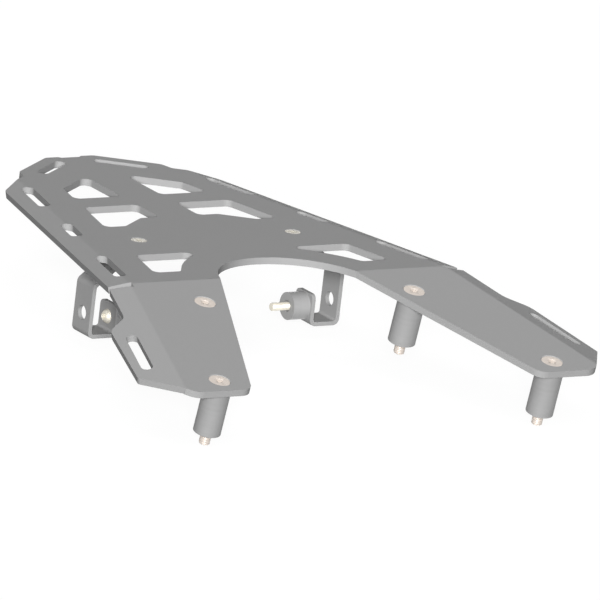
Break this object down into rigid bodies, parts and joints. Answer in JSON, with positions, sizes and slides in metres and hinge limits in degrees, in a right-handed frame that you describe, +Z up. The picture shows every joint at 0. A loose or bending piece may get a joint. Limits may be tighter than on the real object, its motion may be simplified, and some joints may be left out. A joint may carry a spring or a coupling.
{
  "type": "motorcycle rear luggage rack",
  "caption": "Bent-plate rear luggage rack with windowed deck, two down-swept arms on round spacers, and a pair of under-deck brackets with side bolts.",
  "frame": {"origin": "on the top of the deck, on the centreline, midway between the two deck screws", "axes": "+X to the rider's right, +Y to the rear, +Z up, with the deck level"},
  "size_m": [0.384, 0.4541, 0.0794],
  "materials": {
    "rack": "satin grey coat",
    "bracket": "satin grey",
    "spacer": "turned, satin",
    "bush": "turned, satin",
    "screw": "plain stainless"
  },
  "bodies": {
    "root": {"rack_plate": "rack", "bracket_left": "bracket", "bracket_right": "bracket", "bush_left": "bush", "bush_right": "bush", "spacer_front_left": "spacer", "arm_screw_front_left": "screw", "spacer_front_right": "spacer", "arm_screw_front_right": "screw", "spacer_rear_left": "spacer", "arm_screw_rear_left": "screw", "spacer_rear_right": "spacer", "arm_screw_rear_right": "screw", "deck_screw_left": "screw", "deck_washer_left": "screw", "deck_nut_left": "screw", "bracket_bolt_left": "screw", "deck_screw_right": "screw", "deck_washer_right": "screw", "deck_nut_right": "screw", "bracket_bolt_right": "screw"}
  },
  "joints": []
}
